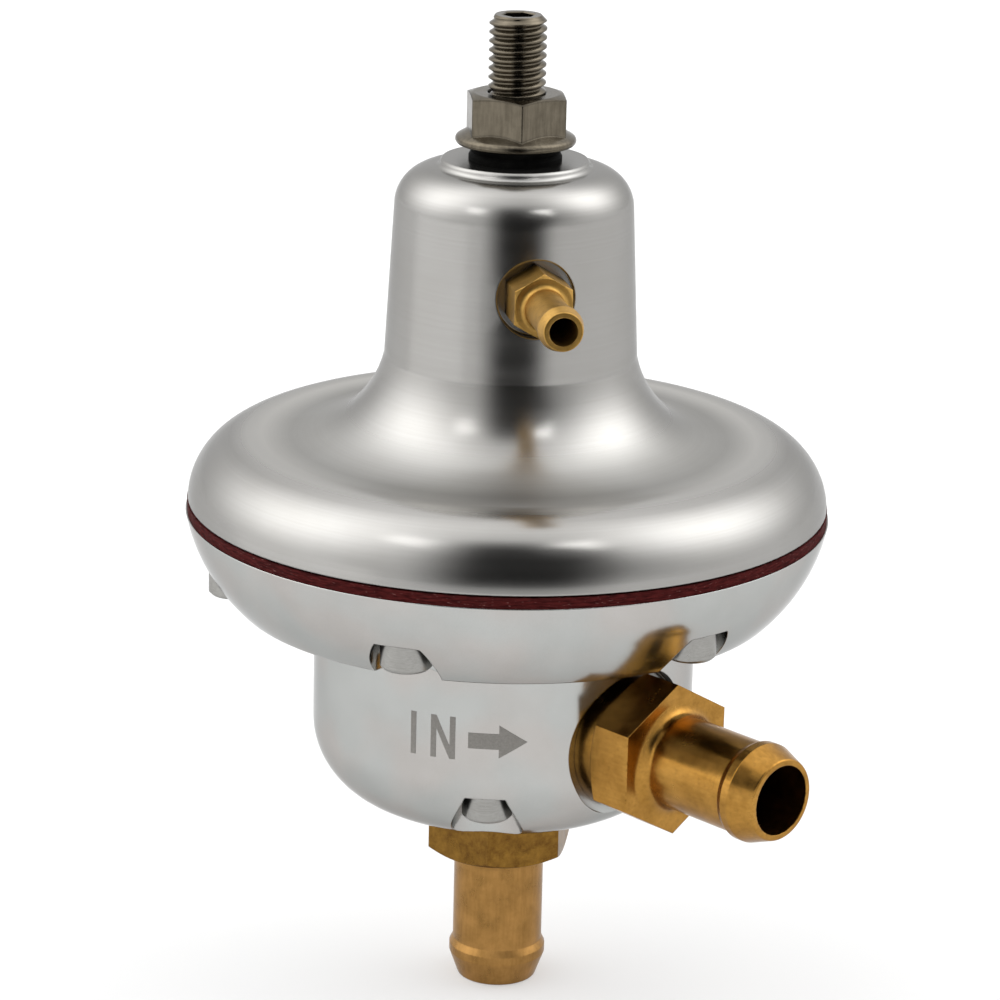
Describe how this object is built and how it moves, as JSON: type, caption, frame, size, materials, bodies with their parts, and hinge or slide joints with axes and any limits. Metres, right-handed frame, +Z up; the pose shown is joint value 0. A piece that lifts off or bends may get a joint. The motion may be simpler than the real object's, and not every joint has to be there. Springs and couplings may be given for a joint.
{
  "type": "fuel pressure regulator",
  "caption": "Diaphragm fuel pressure regulator: bell-shaped alloy spring cover on a flanged valve body, brass hose tails, screw adjuster with a flanged lock nut.",
  "frame": {"origin": "on the main axis, in the middle of the barb land of the outlet hose tail", "axes": "+Z up the main axis towards the adjuster, +X along the inlet hose tail"},
  "size_m": [0.1006, 0.0912, 0.1422],
  "materials": {
    "bell_alloy": "satin turned",
    "body_alloy": "fine satin",
    "red_rubber": "fabric-faced sheet",
    "black_rubber": "moulded",
    "stainless": "bright",
    "spring_steel": "drawn wire",
    "brass": "machined, lightly tarnished"
  },
  "bodies": {
    "housing": {"bell_cover": "bell_alloy", "flange_plate": "body_alloy", "base_cup": "body_alloy", "upper_diaphragm": "red_rubber", "lower_diaphragm": "red_rubber", "valve_seat": "brass", "inlet_tail": "brass", "outlet_tail": "brass", "vacuum_tail": "brass", "rim_screws": "stainless", "base_screws": "stainless", "main_spring": "spring_steel"},
    "seat": {"spring_seat": "stainless"},
    "screw": {"adjusting_screw": "stainless"},
    "washer": {"sealing_washer": "black_rubber"},
    "nut": {"lock_nut": "stainless"},
    "valve": {"spring_plate": "stainless", "backing_plate": "stainless", "stem": "stainless", "stem_nut": "stainless", "stem_washer": "stainless", "valve_disc": "brass", "valve_pad": "black_rubber"}
  },
  "joints": [
    {"name": "adjust_slide", "type": "slide", "parent": "housing", "child": "seat", "axis": [0, 0, 1], "range_m": [-0.005, 0.003], "deforming": ["main_spring"]},
    {"name": "adjust_turn", "type": "hinge", "parent": "seat", "child": "screw", "pos_m": [0, 0, 0.13], "axis": [0, 0, 1], "range_deg": [-1442, 866]},
    {"name": "nut_lift", "type": "slide", "parent": "housing", "child": "washer", "axis": [0, 0, 1], "range_m": [0, 0.003]},
    {"name": "nut_turn", "type": "hinge", "parent": "washer", "child": "nut", "pos_m": [0, 0, 0.123], "axis": [0, 0, 1], "range_deg": [-1, 866]},
    {"name": "valve_lift", "type": "slide", "parent": "housing", "child": "valve", "axis": [0, 0, 1], "range_m": [0, 0.0012], "stiffness_N_per_m": 4000, "springref_m": -0.0005, "deforming": ["main_spring", "upper_diaphragm", "lower_diaphragm"]}
  ],
  "couplings": [
    {"joint": "adjust_turn", "follows": "adjust_slide", "rad_per_m": 5026.5},
    {"joint": "nut_turn", "follows": "nut_lift", "rad_per_m": 5026.5}
  ]
}
